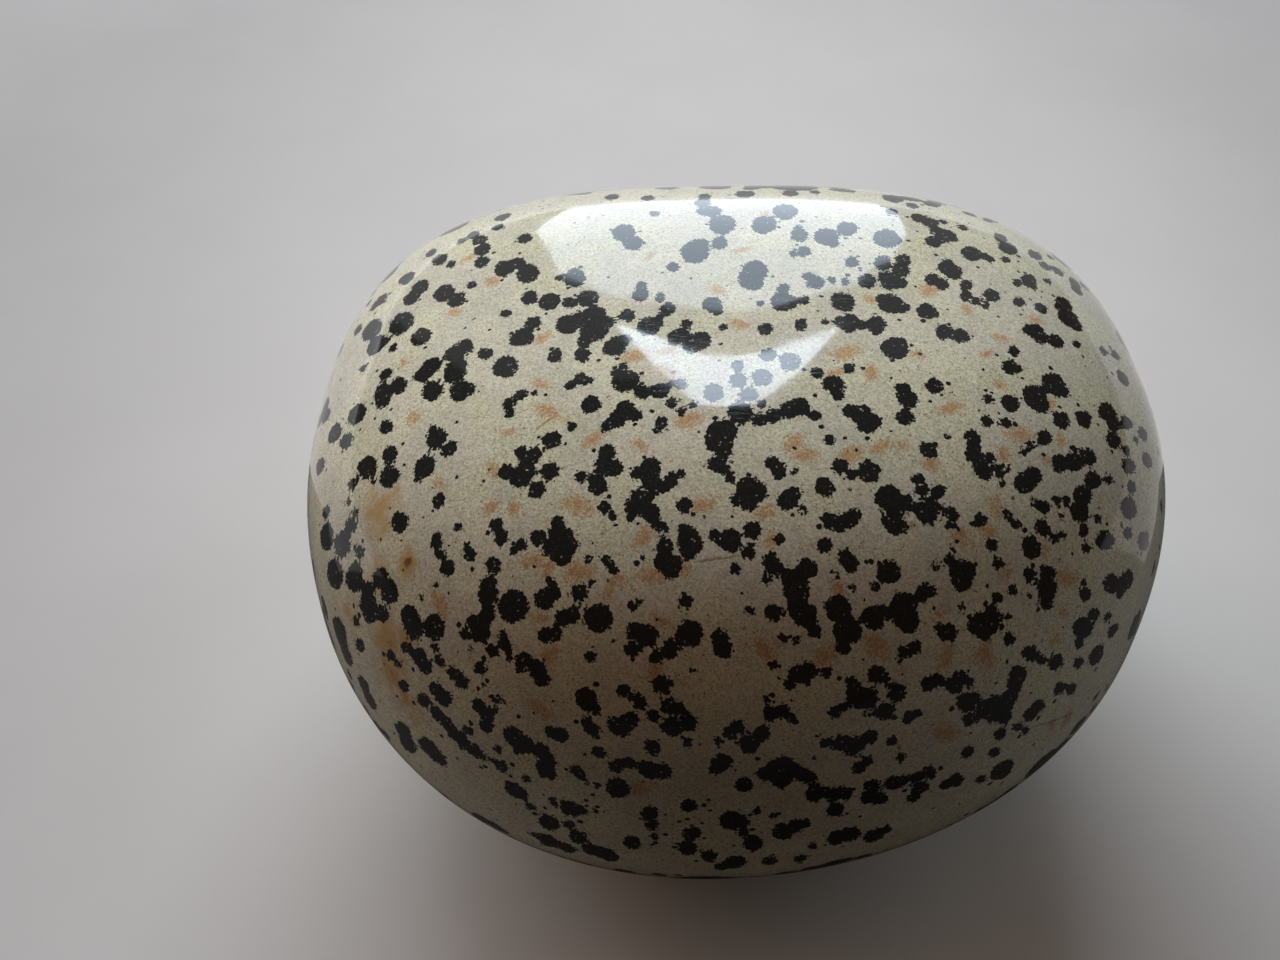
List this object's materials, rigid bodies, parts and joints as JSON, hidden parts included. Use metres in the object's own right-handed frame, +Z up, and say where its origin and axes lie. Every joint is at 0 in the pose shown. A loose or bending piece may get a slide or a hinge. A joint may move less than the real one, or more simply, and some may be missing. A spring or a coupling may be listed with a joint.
{
  "type": "dalmatian stone",
  "caption": "Polished pillow-shaped pebble of pale speckled stone with black blotches, resting on a small flat spot worn underneath.",
  "frame": {"origin": "middle of the stone's box, at the level of the surface that it rests on", "axes": "+X along the stone's length, +Y towards its squarer back, +Z up from the flat spot through the crown"},
  "size_m": [0.0798, 0.072, 0.0492],
  "materials": {
    "stone": "polished, ivory ground with black blotches, rust flecks and an ochre stain"
  },
  "bodies": {
    "root": {"dalmatian_stone": "stone"}
  },
  "joints": []
}
